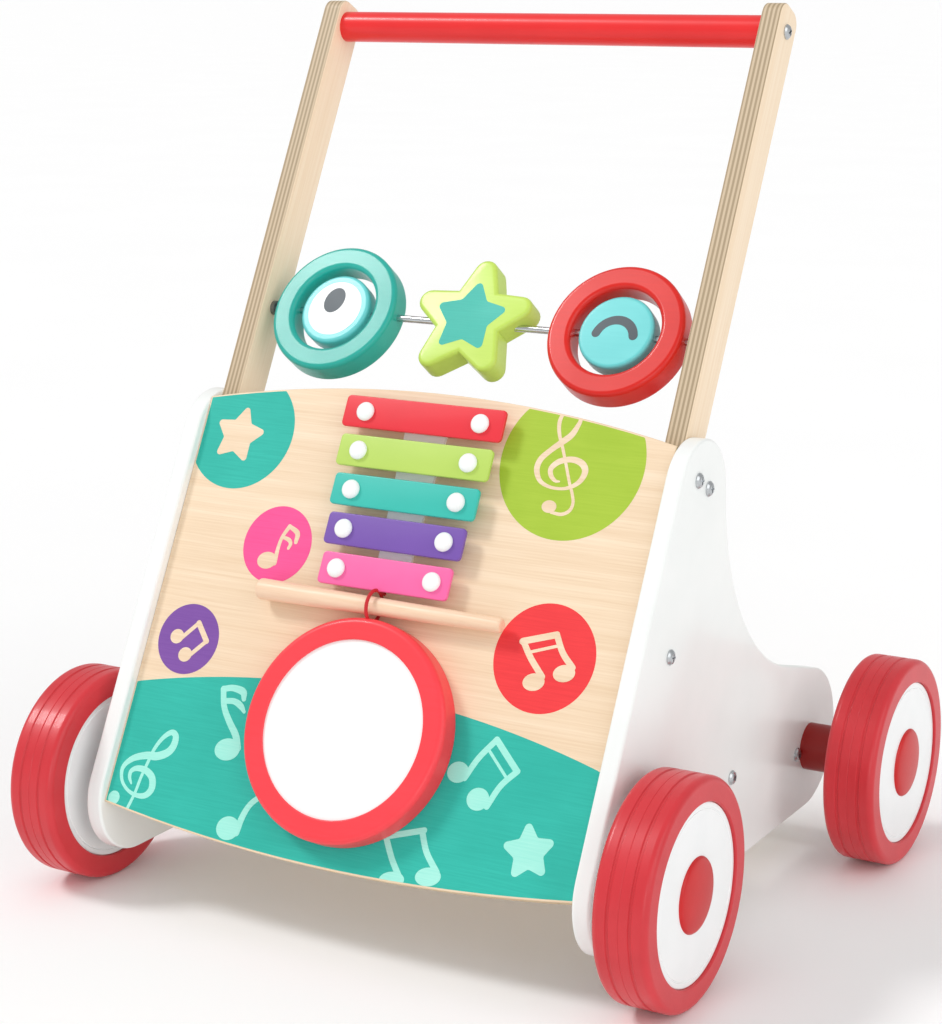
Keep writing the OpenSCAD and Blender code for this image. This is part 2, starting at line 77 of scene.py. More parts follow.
def facing(node):
    """Outward direction of a node's largest flat front: areas added up by direction, heaviest kept."""
    co, tri = points(node), triangles(node)
    cross = np.cross(co[tri[:, 1]] - co[tri[:, 0]], co[tri[:, 2]] - co[tri[:, 0]])
    cross = cross[np.linalg.norm(cross, axis=1) > 1e-12]
    area, way = np.linalg.norm(cross, axis=1), unit(cross)
    front = way[:, 1] < -0.2
    _, group = np.unique(np.round(way[front], 3), axis=0, return_inverse=True)
    group = group.ravel()
    best = np.bincount(group, area[front]).argmax()
    return unit(way[front][group == best].mean(0))


def outline_of(node, out):
    """Points in order round a node's furthest flat face: its longest loop of edges used by one triangle."""
    co, tri = points(node), triangles(node)
    _, first, same = np.unique(np.round(co * 1e6).astype(int), axis=0, return_index=True, return_inverse=True)
    height = co @ out
    cap = tri[(height[tri] > height.max() - 2e-6).all(1)]
    cap = same.ravel()[cap]
    edges = np.concatenate([cap[:, [0, 1]], cap[:, [1, 2]], cap[:, [2, 0]]])
    used = {(a, b) for a, b in edges.tolist() if a != b}
    after = {a: b for a, b in used if (b, a) not in used}
    loops = []
    while after:
        start, b = after.popitem()
        loop = [start]
        while b != start:
            loop.append(b)
            b = after.pop(b)
        loops.append(co[first[loop]])
    return max(loops, key=lambda p: np.linalg.norm(p - np.roll(p, 1, 0), axis=1).sum())


def mid(node):
    """Centre of a node's box."""
    low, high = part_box(node)
    return (np.array(low) + np.array(high)) / 2


class Face:
    """A flat working face: an origin, two directions in it and its outward direction."""

    def __init__(self, origin, right, up):
        self.origin, self.right, self.up = np.asarray(origin, float), unit(right), unit(up)
        self.out = np.cross(self.right, self.up)

    def at(self, flat_mm, out_mm):
        """Origin + u times right + v times up + height times out, with u, v and height in millimetres."""
        flat_mm = np.asarray(flat_mm, float)
        out_mm = np.broadcast_to(out_mm, flat_mm.shape[:-1])[..., None]
        across, upwards = flat_mm[..., :1] * self.right, flat_mm[..., 1:] * self.up
        return self.origin + MM * (across + upwards + out_mm * self.out)

    def flat(self, p):
        """The two in-face millimetres of points in space."""
        return np.stack([(p - self.origin) @ self.right, (p - self.origin) @ self.up], -1) / MM

    def span(self, node):
        """Lowest and highest (right, up, out) millimetres of a CAD node."""
        rel = (points(node) - self.origin) / MM
        local = np.stack([rel @ self.right, rel @ self.up, rel @ self.out], -1)
        return local.min(0), local.max(0)


# The leaning plane: its foot is where the uprights' front plane meets the ground
panel_out = facing("front_panel")
lean = float(np.arctan2(panel_out[2], -panel_out[1]))
foot_y = float((points("front_panel") @ panel_out).min() / panel_out[1])
slope = Face([0, foot_y, 0], ACROSS, [0, np.sin(lean), np.cos(lean)])
panel_low, panel_high = slope.span("front_panel")
panel_mm = panel_high[2]


# ---------------------------------------------------------------- making shapes

def grid_faces(rows, cols, loop_rows=False, loop_cols=False):
    """Quads between neighbouring points of a grid, joined end to end along either way when asked."""
    i = np.arange(rows if loop_rows else rows - 1)
    j = np.arange(cols if loop_cols else cols - 1)
    i, j = np.meshgrid(i, j, indexing="ij")
    i2, j2 = (i + 1) % rows, (j + 1) % cols
    return np.stack([i * cols + j, i * cols + j2, i2 * cols + j2, i2 * cols + j], -1).reshape(-1, 4)


def piece(name, shells, body, material, replaced=()):
    """One object from closed shells, each (points, faces): caps flat, the rest smooth up to 40 degrees."""
    verts, faces, base = [], [], 0
    for co, fs in shells:
        verts.append(np.asarray(co, float).reshape(-1, 3))
        faces += [[int(k) + base for k in f] for f in fs]
        base += len(verts[-1])
    mesh = bpy.data.meshes.new(name)
    mesh.from_pydata(np.concatenate(verts).tolist(), [], faces)
    shell = bmesh.new()
    shell.from_mesh(mesh)
    bmesh.ops.remove_doubles(shell, verts=shell.verts, dist=2e-7)
    bmesh.ops.recalc_face_normals(shell, faces=shell.faces)
    for f in shell.faces:
        f.smooth = len(f.verts) <= 4
    shell.to_mesh(mesh)
    shell.free()
    mesh.set_sharp_from_angle(angle=np.radians(40))
    obj = bpy.data.objects.new(name, mesh)
    bpy.context.scene.collection.objects.link(obj)
    mesh.materials.append(material)
    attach(obj, body)
    if replaced:
        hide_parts(*replaced)
    return obj


def fillet(corners, radius, steps=5, guard=0.12):
    """Closed outline with an arc at each corner, and a point just past each arc's ends to keep flats flat."""
    c = np.asarray(corners, float)
    radius = np.broadcast_to(np.asarray(radius, float), len(c))
    out = []
    for k in range(len(c)):
        if radius[k] <= 0:
            out.append(c[k][None])
            continue
        a, b = c[k - 1] - c[k], c[(k + 1) % len(c)] - c[k]
        la, lb = np.linalg.norm(a), np.linalg.norm(b)
        a, b = a / la, b / lb
        half = 0.5 * np.arccos(np.clip(a @ b, -1, 1))
        reach = min(radius[k] / np.tan(half), 0.47 * la, 0.47 * lb)
        centre = c[k] + unit(a + b) * reach / np.cos(half)
        p, q = c[k] + a * reach - centre, c[k] + b * reach - centre
        turn = np.pi - 2 * half
        t = np.linspace(0, 1, steps + 1)[:, None]
        arc = centre + (np.sin((1 - t) * turn) * p + np.sin(t * turn) * q) / np.sin(turn)
        before, after = centre + p + a * min(guard, 0.2 * la), centre + q + b * min(guard, 0.2 * lb)
        out += [before[None], arc, after[None]]
    return np.concatenate(out)


def around(flat):
    """The same closed outline, turned anticlockwise if it ran clockwise, by the sign of its enclosed area."""
    nxt = np.roll(flat, -1, 0)
    area = (flat[:, 0] * nxt[:, 1] - nxt[:, 0] * flat[:, 1]).sum()
    return flat if area > 0 else flat[::-1]


def inset(flat, amount):
    """Every corner of an anticlockwise outline moved inwards by amount, along the mitre of its two edges."""
    before, after = unit(flat - np.roll(flat, 1, 0)), unit(np.roll(flat, -1, 0) - flat)
    na = np.stack([-before[:, 1], before[:, 0]], 1)
    nb = np.stack([-after[:, 1], after[:, 0]], 1)
    return flat + amount * (na + nb) / (1 + (na * nb).sum(1))[:, None]


def plate(face, flat, low, high, edge, steps=5):
    """A slab whose rims are quarter circles: the outline inset by edge(1 - sin a) at height edge(1 - cos a)."""
    flat = around(flat)
    a = np.linspace(0, np.pi / 2, steps + 1)
    shrink, climb = edge * (1 - np.sin(a)), edge * (1 - np.cos(a))
    shrink = np.concatenate([shrink, [0, 0], shrink[::-1]])
    climb = np.concatenate([low + climb, [low + edge + 0.1, high - edge - 0.1], high - climb[::-1]])
    rings = np.stack([face.at(inset(flat, s), h) for s, h in zip(shrink, climb)])
    n, k = len(rings), len(flat)
    faces = grid_faces(n, k, loop_cols=True).tolist()
    return rings, faces + [list(range(k)), [(n - 1) * k + i for i in range(k)]]


def turned(profile_mm, origin, axis, turns=96, closed=True):
    """A half section (radius, height) carried round an axis: radius times a unit circle, plus the height."""
    profile_mm = np.asarray(profile_mm, float)
    axis = unit(axis)
    side = unit(np.cross(axis, [0.31, 0.17, 0.93]))
    ahead = np.cross(axis, side)
    a = np.linspace(0, 2 * np.pi, turns, endpoint=False)[:, None]
    ring = np.cos(a) * side + np.sin(a) * ahead
    r, h = profile_mm[:, 0, None, None] * MM, profile_mm[:, 1, None, None] * MM
    return np.asarray(origin) + r * ring + h * axis, grid_faces(len(profile_mm), turns, closed, True)


def smooth_line(knots, places):
    """A smooth line through knots: the cubic whose slope at a knot joins its two neighbours."""
    k = np.asarray(knots, float)
    t = np.linspace(0, len(k) - 1, places)
    i = np.minimum(t.astype(int), len(k) - 2)
    u = (t - i)[:, None]
    ends = np.concatenate([[2 * k[0] - k[1]], k, [2 * k[-1] - k[-2]]])
    p0, p1, p2, p3 = ends[i], ends[i + 1], ends[i + 2], ends[i + 3]
    return 0.5 * (2 * p1 + (p2 - p0) * u + (2 * p0 - 5 * p1 + 4 * p2 - p3) * u ** 2
                  + (3 * p1 - p0 - 3 * p2 + p3) * u ** 3)


def stroke(knots, places=60):
    """A pen stroke from (x, y, width) knots: half the width to each side of a smooth line, with round ends."""
    line = smooth_line(knots, places)
    mid_line, half = line[:, :2], line[:, 2] / 2
    along = unit(np.gradient(mid_line, axis=0))
    a = np.linspace(0, np.pi / 2, 6)[:-1, None]
    start = mid_line[0] - along[0] * half[0] * np.cos(a)
    stop = (mid_line[-1] + along[-1] * half[-1] * np.cos(a))[::-1]
    half = np.concatenate([half[0] * np.sin(a[:, 0]), half, half[-1] * np.sin(a[::-1, 0])])
    along = np.concatenate([np.repeat(along[:1], 5, 0), along, np.repeat(along[-1:], 5, 0)])
    mid_line = np.concatenate([start, mid_line, stop])
    left = np.stack([-along[:, 1], along[:, 0]], 1) * half[:, None]
    return mid_line + left, mid_line - left


def oval(centre, rx, ry=None, turn=0.0, n=72):
    """An ellipse's outline: (rx cos a, ry sin a) turned by an angle in degrees and moved to its centre."""
    ry = rx if ry is None else ry
    a, t = np.linspace(0, 2 * np.pi, n, endpoint=False), np.radians(turn)
    x, y = rx * np.cos(a), ry * np.sin(a)
    return np.stack([centre[0] + x * np.cos(t) - y * np.sin(t), centre[1] + x * np.sin(t) + y * np.cos(t)], 1)


def star_shape(centre, reach, turn, waist=0.53, tip=1.9, valley=1.6):
    """A five-armed star: ten corners at two radii in turn, each rounded by its own arc."""
    a = np.radians(turn + 36 * np.arange(10))
    r = np.where(np.arange(10) % 2 == 0, reach, reach * waist)
    corners = np.stack([centre[0] + r * np.cos(a), centre[1] + r * np.sin(a)], 1)
    return fillet(corners, np.where(np.arange(10) % 2 == 0, tip, valley), 6)


PRINT_ROOT = 0.15   # how far a print's underside sits inside the board, in millimetres


def inked(face, flat, ground, lift, keep=None):
    """A thin closed slab of ink over an outline, kept to the board by moving outside points to its border."""
    flat = keep(flat) if keep else flat
    flat = flat[np.linalg.norm(flat - np.roll(flat, 1, 0), axis=1) > 1e-3]
    k = len(flat)
    rings = np.stack([face.at(flat, ground - PRINT_ROOT), face.at(flat, ground + lift)])
    return rings, grid_faces(2, k, loop_cols=True).tolist() + [list(range(k)), list(range(k, 2 * k))]


def inked_stroke(face, knots, ground, lift, keep=None, places=60):
    """A pen stroke as a thin closed band whose top climbs by 0.05 mm along it, so that it can cross itself."""
    left, right = stroke(knots, places)
    left, right = (keep(left), keep(right)) if keep else (left, right)
    top = ground + lift + np.linspace(0, 0.05, len(left))
    low = ground - PRINT_ROOT
    band = np.stack([face.at(left, low), face.at(left, top), face.at(right, top), face.at(right, low)], 1)
    n = len(left)
    ends = [[0, 1, 2, 3], [4 * n - 4, 4 * n - 3, 4 * n - 2, 4 * n - 1]]
    return band, grid_faces(n, 4, loop_cols=True).tolist() + ends


# ---------------------------------------------------------------- finishes

def ink(code):
    """An sRGB hex colour as linear red, green, blue and alpha."""
    c = np.array([int(code[i:i + 2], 16) for i in (1, 3, 5)]) / 255
    c = np.where(c <= 0.04045, c / 12.92, ((c + 0.055) / 1.055) ** 2.4)
    return (*c.tolist(), 1.0)


def add(tree, kind, links={}, values={}, **settings):
    """Adds one node with its settings, its socket values and links from other nodes' outputs."""
    node = tree.nodes.new(kind)
    for key, value in settings.items():
        setattr(node, key, value)
    for key, value in values.items():
        node.inputs[key].default_value = value
    for key, value in links.items():
        tree.links.new(value, node.inputs[key])
    return node


def begin(name, values):
    """A new material: its tree, its shader with constants on its own sockets, and its object coordinates."""
    mat = bpy.data.materials.new(name)
    mat.use_nodes = True
    tree = mat.node_tree
    tree.nodes.clear()
    shader = add(tree, "ShaderNodeBsdfPrincipled", values=values)
    add(tree, "ShaderNodeOutputMaterial", {"Surface": shader.outputs[0]})
    return mat, tree, shader, add(tree, "ShaderNodeTexCoord").outputs["Object"]


def squared_up(tree, place):
    """Object coordinates turned so that the leaning boards stand upright: X across, Y through, Z up."""
    turn = add(tree, "ShaderNodeMapping", {"Vector": place}, {
        "Location": (0, -foot_y * np.cos(lean), -foot_y * np.sin(lean)), "Rotation": (lean, 0, 0)})
    return turn.outputs[0]


def painted(name, colour, deep, rough, coat=0.0, peel_mm=0.9, bump=0.05, fibre=None, fibre_show=0.0,
            leaning=False):
    """A coat of paint: slow drift between two colours, fine orange peel, and wood fibre showing through."""
    mat, tree, shader, place = begin(name, {
        "Coat Weight": coat, "Coat Roughness": 0.12, "IOR": 1.48, "Specular IOR Level": 0.35})
    place = squared_up(tree, place) if leaning else place
    drift = add(tree, "ShaderNodeTexNoise", {"Vector": place}, {"Scale": 1 / 0.045, "Detail": 3.0})
    share = add(tree, "ShaderNodeMapRange", {"Value": drift.outputs[0]},
                {"From Min": 0.32, "From Max": 0.68, "To Min": 0.0, "To Max": 0.45})
    hue = add(tree, "ShaderNodeMix", {0: share.outputs[0]}, {6: ink(colour), 7: ink(deep)}, data_type="RGBA")
    peel = add(tree, "ShaderNodeTexNoise", {"Vector": place}, {"Scale": 1 / (peel_mm * MM), "Detail": 2.0})
    top, height = hue.outputs[2], peel.outputs[0]
    if fibre:
        # Fibre lines 0.5 to 1 mm apart and some 20 mm long, as in close-grained birch under thin paint
        run = add(tree, "ShaderNodeMapping", {"Vector": place}, {"Scale": fibre})
        lines = add(tree, "ShaderNodeTexNoise", {"Vector": run.outputs[0]},
                    {"Scale": 1.0, "Detail": 4.0, "Roughness": 0.6})
        show = add(tree, "ShaderNodeMapRange", {"Value": lines.outputs[0]},
                   {"From Min": 0.35, "From Max": 0.7, "To Min": 0.0, "To Max": fibre_show})
        mixed = add(tree, "ShaderNodeMix", {0: show.outputs[0], 6: top}, {7: ink(deep)}, data_type="RGBA")
        top = mixed.outputs[2]
        both = add(tree, "ShaderNodeMath", {0: lines.outputs[0], 1: height}, operation="ADD")
        height = both.outputs[0]
    tree.links.new(top, shader.inputs["Base Color"])
    dull = add(tree, "ShaderNodeMapRange", {"Value": drift.outputs[0]},
               {"From Min": 0.3, "From Max": 0.7, "To Min": rough - 0.04, "To Max": rough + 0.05})
    tree.links.new(dull.outputs[0], shader.inputs["Roughness"])
    skin = add(tree, "ShaderNodeBump", {"Height": height}, {"Strength": bump, "Distance": 0.0002})
    tree.links.new(skin.outputs[0], shader.inputs["Normal"])
    return mat


def timber(name, light, dark, through, grain, plies=None, edge_light="#E3CBA6", edge_dark="#BFA784",
           leaning=True, rough=0.5, figure=0.55):
    """Close-grained wood: long fibre streaks, slow figure, short pores, and glued layers on its cut faces."""
    mat, tree, shader, place = begin(name, {"Coat Weight": 0.08, "Coat Roughness": 0.4, "IOR": 1.5})
    place = squared_up(tree, place) if leaning else place
    run = add(tree, "ShaderNodeMapping", {"Vector": place}, {"Scale": grain})
    fibres = add(tree, "ShaderNodeTexNoise", {"Vector": run.outputs[0]},
                 {"Scale": 1.0, "Detail": 5.0, "Roughness": 0.62, "Distortion": 0.3})
    broad = add(tree, "ShaderNodeMapping", {"Vector": place}, {"Scale": tuple(g * 0.12 for g in grain)})
    slow = add(tree, "ShaderNodeTexNoise", {"Vector": broad.outputs[0]},
               {"Scale": 1.0, "Detail": 3.0, "Distortion": 0.8})
    both = add(tree, "ShaderNodeMix", {2: fibres.outputs[0], 3: slow.outputs[0]}, {0: 0.45},
               data_type="FLOAT")
    share = add(tree, "ShaderNodeMapRange", {"Value": both.outputs[0]},
                {"From Min": 0.36, "From Max": 0.66, "To Min": 0.0, "To Max": figure})
    hue = add(tree, "ShaderNodeMix", {0: share.outputs[0]}, {6: ink(light), 7: ink(dark)}, data_type="RGBA")
    # Pores: dark flecks about 0.4 mm wide and 4 mm long
    fleck = add(tree, "ShaderNodeMapping", {"Vector": place}, {"Scale": tuple(g * 2.6 for g in grain)})
    pores = add(tree, "ShaderNodeTexNoise", {"Vector": fleck.outputs[0]}, {"Scale": 1.0, "Detail": 1.0})
    pick = add(tree, "ShaderNodeMapRange", {"Value": pores.outputs[0]},
               {"From Min": 0.66, "From Max": 0.76, "To Min": 0.0, "To Max": 0.35})
    top = add(tree, "ShaderNodeMix", {0: pick.outputs[0], 6: hue.outputs[2]}, {7: ink(dark)},
              data_type="RGBA").outputs[2]
    if plies:
        # Layers 1.3 mm thick, light long grain and darker end grain in turn, seen where the face is cut across
        level = add(tree, "ShaderNodeVectorMath", {0: place}, {1: tuple(through)}, operation="DOT_PRODUCT")
        wander = add(tree, "ShaderNodeTexNoise", {"Vector": place}, {"Scale": 1 / 0.03})
        shifted = add(tree, "ShaderNodeMath", {0: wander.outputs[0], 2: level.outputs["Value"]}, {1: 0.0003},
                      operation="MULTIPLY_ADD")
        turns = add(tree, "ShaderNodeMath", {0: shifted.outputs[0]}, {1: np.pi / (plies * MM)},
                    operation="MULTIPLY")
        wave = add(tree, "ShaderNodeMath", {0: turns.outputs[0]}, operation="SINE")
        layer = add(tree, "ShaderNodeMapRange", {"Value": wave.outputs[0]},
                    {"From Min": -0.35, "From Max": 0.35, "To Min": 0.0, "To Max": 1.0})
        rim = add(tree, "ShaderNodeMix", {0: layer.outputs[0]}, {6: ink(edge_light), 7: ink(edge_dark)},
                  data_type="RGBA")
        way = add(tree, "ShaderNodeTexCoord")
        normal = way.outputs["Normal"]
        if leaning:
            normal = add(tree, "ShaderNodeMapping", {"Vector": normal}, {"Rotation": (lean, 0, 0)},
                         vector_type="NORMAL").outputs[0]
        square = add(tree, "ShaderNodeVectorMath", {0: normal}, {1: tuple(through)}, operation="DOT_PRODUCT")
        size = add(tree, "ShaderNodeMath", {0: square.outputs["Value"]}, operation="ABSOLUTE")
        cut = add(tree, "ShaderNodeMapRange", {"Value": size.outputs[0]},
                  {"From Min": 0.55, "From Max": 0.8, "To Min": 1.0, "To Max": 0.0})
        top = add(tree, "ShaderNodeMix", {0: cut.outputs[0], 6: top, 7: rim.outputs[2]},
                  data_type="RGBA").outputs[2]
    tree.links.new(top, shader.inputs["Base Color"])
    dull = add(tree, "ShaderNodeMapRange", {"Value": fibres.outputs[0]},
               {"From Min": 0.3, "From Max": 0.7, "To Min": rough - 0.05, "To Max": rough + 0.08})
    tree.links.new(dull.outputs[0], shader.inputs["Roughness"])
    skin = add(tree, "ShaderNodeBump", {"Height": fibres.outputs[0]}, {"Strength": 0.18, "Distance": 0.0002})
    tree.links.new(skin.outputs[0], shader.inputs["Normal"])
    return mat


def plastic(name, colour, deep, rough, grit_mm=0.6, bump=0.03, coat=0.0):
    """Moulded plastic or rubber: almost even colour, fine mould grain and slightly uneven gloss."""
    mat, tree, shader, place = begin(name, {
        "Coat Weight": coat, "Coat Roughness": 0.1, "IOR": 1.5, "Specular IOR Level": 0.35})
    cloud = add(tree, "ShaderNodeTexNoise", {"Vector": place}, {"Scale": 1 / 0.02, "Detail": 3.0})
    share = add(tree, "ShaderNodeMapRange", {"Value": cloud.outputs[0]},
                {"From Min": 0.35, "From Max": 0.65, "To Min": 0.0, "To Max": 0.35})
    hue = add(tree, "ShaderNodeMix", {0: share.outputs[0]}, {6: ink(colour), 7: ink(deep)}, data_type="RGBA")
    tree.links.new(hue.outputs[2], shader.inputs["Base Color"])
    grit = add(tree, "ShaderNodeTexNoise", {"Vector": place}, {"Scale": 1 / (grit_mm * MM), "Detail": 2.0})
    dull = add(tree, "ShaderNodeMapRange", {"Value": grit.outputs[0]},
               {"From Min": 0.3, "From Max": 0.7, "To Min": rough - 0.04, "To Max": rough + 0.04})
    tree.links.new(dull.outputs[0], shader.inputs["Roughness"])
    skin = add(tree, "ShaderNodeBump", {"Height": grit.outputs[0]}, {"Strength": bump, "Distance": 0.0002})
    tree.links.new(skin.outputs[0], shader.inputs["Normal"])
    return mat


def metal(name, colour, deep, rough, lines=(900, 60, 60)):
    """Bright metal: a drawn or turned surface with fine scratches along its working direction."""
    mat, tree, shader, place = begin(name, {"Metallic": 1.0})
    run = add(tree, "ShaderNodeMapping", {"Vector": place}, {"Scale": lines})
    marks = add(tree, "ShaderNodeTexNoise", {"Vector": run.outputs[0]}, {"Scale": 1.0, "Detail": 4.0})
    hue = add(tree, "ShaderNodeMix", {0: marks.outputs[0]}, {6: ink(colour), 7: ink(deep)}, data_type="RGBA")
    tree.links.new(hue.outputs[2], shader.inputs["Base Color"])
    dull = add(tree, "ShaderNodeMapRange", {"Value": marks.outputs[0]},
               {"From Min": 0.3, "From Max": 0.7, "To Min": rough - 0.06, "To Max": rough + 0.1})
    tree.links.new(dull.outputs[0], shader.inputs["Roughness"])
    skin = add(tree, "ShaderNodeBump", {"Height": marks.outputs[0]}, {"Strength": 0.06, "Distance": 0.0001})
    tree.links.new(skin.outputs[0], shader.inputs["Normal"])
    return mat


def screen_ink(name, colour, deep, show=0.5):
    """Silk-screened ink on the leaning board: matt, with the level fibre showing through."""
    return painted(name, colour, deep, 0.5, peel_mm=0.5, fibre=FIBRE_X, fibre_show=show, leaning=True)


def wood_paint(name, colour, deep, rough=0.36, coat=0.2, fibre=(40, 500, 500), show=0.3):
    """Brushed paint on turned or sawn hardwood, with a little of the fibre showing through."""
    return painted(name, colour, deep, rough, coat=coat, fibre=fibre, fibre_show=show)


# Grain scales are one over a length in metres: long way of the fibre first where it runs across the walker
ALONG_X = (14, 900, 900)
ALONG_SLOPE = (700, 700, 12)
FIBRE_X = (45, 1500, 1500)

# Sprayed white lacquer on a sealed board: satin, very slight orange peel
white_lacquer = painted("white satin lacquer", "#F4F6F4", "#E9EDEB", 0.32, coat=0.25, peel_mm=1.4, bump=0.04)
# Rotary-cut birch veneer on plywood, clear matt varnish: pale, faint level streaks, layered rim
birch_board = timber("birch plywood panel", "#F4DDC0", "#D9B68C", (0, 1, 0), ALONG_X, plies=1.3, figure=0.6)
# Thicker birch plywood with the grain up the slope, its layers on the front and rear edges
birch_upright = timber("birch plywood upright", "#F7E3C8", "#E8CBA6", (1, 0, 0), ALONG_SLOPE, plies=1.3,
                       edge_light="#CDB89A", edge_dark="#A69173")
# Planed pine rails, unvarnished
rail_wood = timber("bare pine rail", "#EBD2A9", "#D2AE7C", (0, 0, 1), ALONG_X, leaning=False, rough=0.6)
# Turned beech stick, waxed: warm, small darker flecks along it
beech = timber("waxed beech", "#F8DBBF", "#E4B993", (0, 0, 1), (30, 700, 700), leaning=False, rough=0.42)
# Silk-screened inks on the veneer: matt, with the level fibre showing through
teal_ink = screen_ink("teal screen ink", "#30BDAC", "#1EA898", 0.55)
mint_ink = screen_ink("mint screen ink", "#ADF1E2", "#8CE3D1")
pink_ink = screen_ink("pink screen ink", "#FC5C9E", "#EA4589")
violet_ink = screen_ink("violet screen ink", "#8253A6", "#704298")
red_ink = screen_ink("red screen ink", "#F43E42", "#DE2C32")
lime_ink = screen_ink("lime screen ink", "#AFCB3F", "#9ABB2C")
star_ink = painted("teal ink on the star", "#35BBAA", "#25A798", 0.45, fibre=FIBRE_X, fibre_show=0.4)
eye_ink = painted("white ink", "#FAFCFC", "#F0F4F4", 0.4)
pupil_ink = painted("slate ink", "#4A545B", "#3C464D", 0.4)
# Brushed gloss paint on turned or sawn hardwood
bar_paint = wood_paint("red gloss paint on dowel", "#EE2F30", "#DB2023", 0.32, 0.12, (25, 600, 600), 0.25)
ring_red = wood_paint("red gloss paint", "#DE1F14", "#C9170F", 0.34)
ring_teal = wood_paint("teal gloss paint", "#25B0A2", "#1A9E91")
disc_teal = wood_paint("light teal gloss paint", "#70D5D5", "#5EC6C6")
star_lime = wood_paint("lime gloss paint", "#C6E466", "#B3D44E")
drum_red = wood_paint("red satin paint", "#FB434D", "#E8363E", 0.38, 0.15, show=0.25)
# Stove enamel on pressed steel keys: smooth and glossy
key_finish = {
    "key_red": painted("red key enamel", "#E93440", "#D92732", 0.34, coat=0.12, peel_mm=1.6),
    "key_lime": painted("lime key enamel", "#BCD968", "#AECE58", 0.34, coat=0.12, peel_mm=1.6),
    "key_teal": painted("teal key enamel", "#3DC0B2", "#2EB2A4", 0.34, coat=0.12, peel_mm=1.6),
    "key_purple": painted("violet key enamel", "#7A57AE", "#6C4AA0", 0.34, coat=0.12, peel_mm=1.6),
    "key_pink": painted("pink key enamel", "#FA6FAC", "#EE5B9C", 0.34, coat=0.12, peel_mm=1.6),
}
# Soft moulded tyre rubber, polished white ABS disc, ABS hub, and smaller moulded pieces
tyre_rubber = plastic("soft red rubber", "#D2343C", "#C02930", 0.36, grit_mm=0.8, bump=0.05, coat=0.1)
disc_white = plastic("white ABS", "#F5F7F7", "#ECEFEF", 0.22, coat=0.2)
hub_red = plastic("red ABS", "#CC2022", "#BA181A", 0.34)
spacer_red = plastic("dark red ABS", "#981C19", "#861512", 0.35)
pin_white = plastic("white nylon", "#F6F9F8", "#ECF1F0", 0.25, coat=0.2)
skin_white = plastic("white drum film", "#FBFBFA", "#F4F5F4", 0.4, grit_mm=1.2, bump=0.02)
pad_rubber = plastic("grey rubber pad", "#CDD1CF", "#BCC1BE", 0.6)
strip_white = plastic("white resonator strip", "#FFFFFF", "#FCFDFC", 0.5)
cord_red = plastic("braided red elastic", "#CF2730", "#A91A22", 0.6, grit_mm=0.3, bump=0.3)
hoop_wood = timber("drum hoop beech", "#E8CBA0", "#CDA878", (0, 0, 1), (60, 500, 500), leaning=False)
# Drawn steel rod and axles; nickelled screw heads and collars
steel = metal("drawn steel", "#D9DCDE", "#BFC3C6", 0.2, lines=(40, 2500, 2500))
nickel = metal("nickelled steel", "#CDD0D2", "#B0B4B7", 0.24)
collar_grey = metal("dull zinc collar", "#8F9296", "#75787C", 0.4)

# ---------------------------------------------------------------- boards

for side, sign in (("right", 1), ("left", -1)):
    # Side panels: a board across X, its outline read from its outer face
    face = Face([0, 0, 0], [0, 1, 0], [0, 0, 1])
    low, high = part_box(f"side_panel_{side}")
    outline = face.flat(outline_of(f"side_panel_{side}", sign * ACROSS))
    piece(f"{side}_side_board", [plate(face, outline, low[0] / MM, high[0] / MM, 1.6)], "frame",
          white_lacquer, [f"side_panel_{side}"])
    # Uprights: a board across X with its four corners rounded to 8 mm, sized from its spans on the slope
    low, high = slope.span(f"upright_{side}")
    ring = fillet([(-high[2], low[1]), (-low[2], low[1]), (-low[2], high[1]), (-high[2], high[1])], 8, 12)
    across = Face(slope.origin, -panel_out, slope.up)
    piece(f"{side}_upright_board", [plate(across, ring, low[0], high[0], 1.1)],
          "frame", birch_upright, [f"upright_{side}"])

panel_edge = around(slope.flat(outline_of("front_panel", panel_out)))
piece("front_board", [plate(slope, panel_edge, panel_low[2], panel_mm, 0.8)], "frame", birch_board,
      ["front_panel"])

for rail in ("middle_stretcher", "rear_stretcher"):
    low, high = (np.array(v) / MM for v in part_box(rail))
    ring = fillet([(low[1], low[2]), (high[1], low[2]), (high[1], high[2]), (low[1], high[2])], 1.2, 4)
    piece(f"{rail}_rail", [plate(Face([0, 0, 0], [0, 1, 0], [0, 0, 1]), ring, low[0], high[0], 0.3)], "frame",
          rail_wood, [rail])

# ---------------------------------------------------------------- handle bar, rod and spinners

def dowel(node, edge=0.4):
    """Profile of a round bar along X from a node's box: radius by length, its rims rounded."""
    low, high = (np.array(v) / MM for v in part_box(node))
    r, half = (high[2] - low[2]) / 2, (high[0] - low[0]) / 2
    ring = fillet([(0, -half), (r, -half), (r, half), (0, half)], (0, edge, edge, 0))
    return turned(ring, mid(node), ACROSS, 72, False)


piece("handle_dowel", [dowel("handle_bar")], "frame", bar_paint, ["handle_bar"])

spin_out = facing("star")
spin_up = np.cross(spin_out, ACROSS)
rod_mid = mid("spinner_rod")


def spinner(node):
    """Working face of a spinner: centred on its own middle along the rod, facing as the star does."""
    return Face([mid(node)[0], rod_mid[1], rod_mid[2]], ACROSS, spin_up)


def half_thick(node):
    """Half of a spinner's thickness along the facing direction."""
    low, high = spinner(node).span(node)
    return high[2]


for node, body, finish, slot in (("ring_left", "left_ring", ring_teal, "teal_paint"),
                                 ("ring_right", "right_ring", ring_red, "red_paint")):
    face, h = spinner(node), half_thick(node)
    rel = (points(node) - face.origin) / MM
    r = np.hypot(rel @ face.right, rel @ face.up)
    inner, outer = r[r > r.max() * 0.5].min(), r.max()
    ring = fillet([(inner, -h), (outer, -h), (outer, h), (inner, h)], 2.6, 7)
    piece(f"{body}_hoop", [turned(ring, face.origin, face.out, 144)], body, finish, [node])

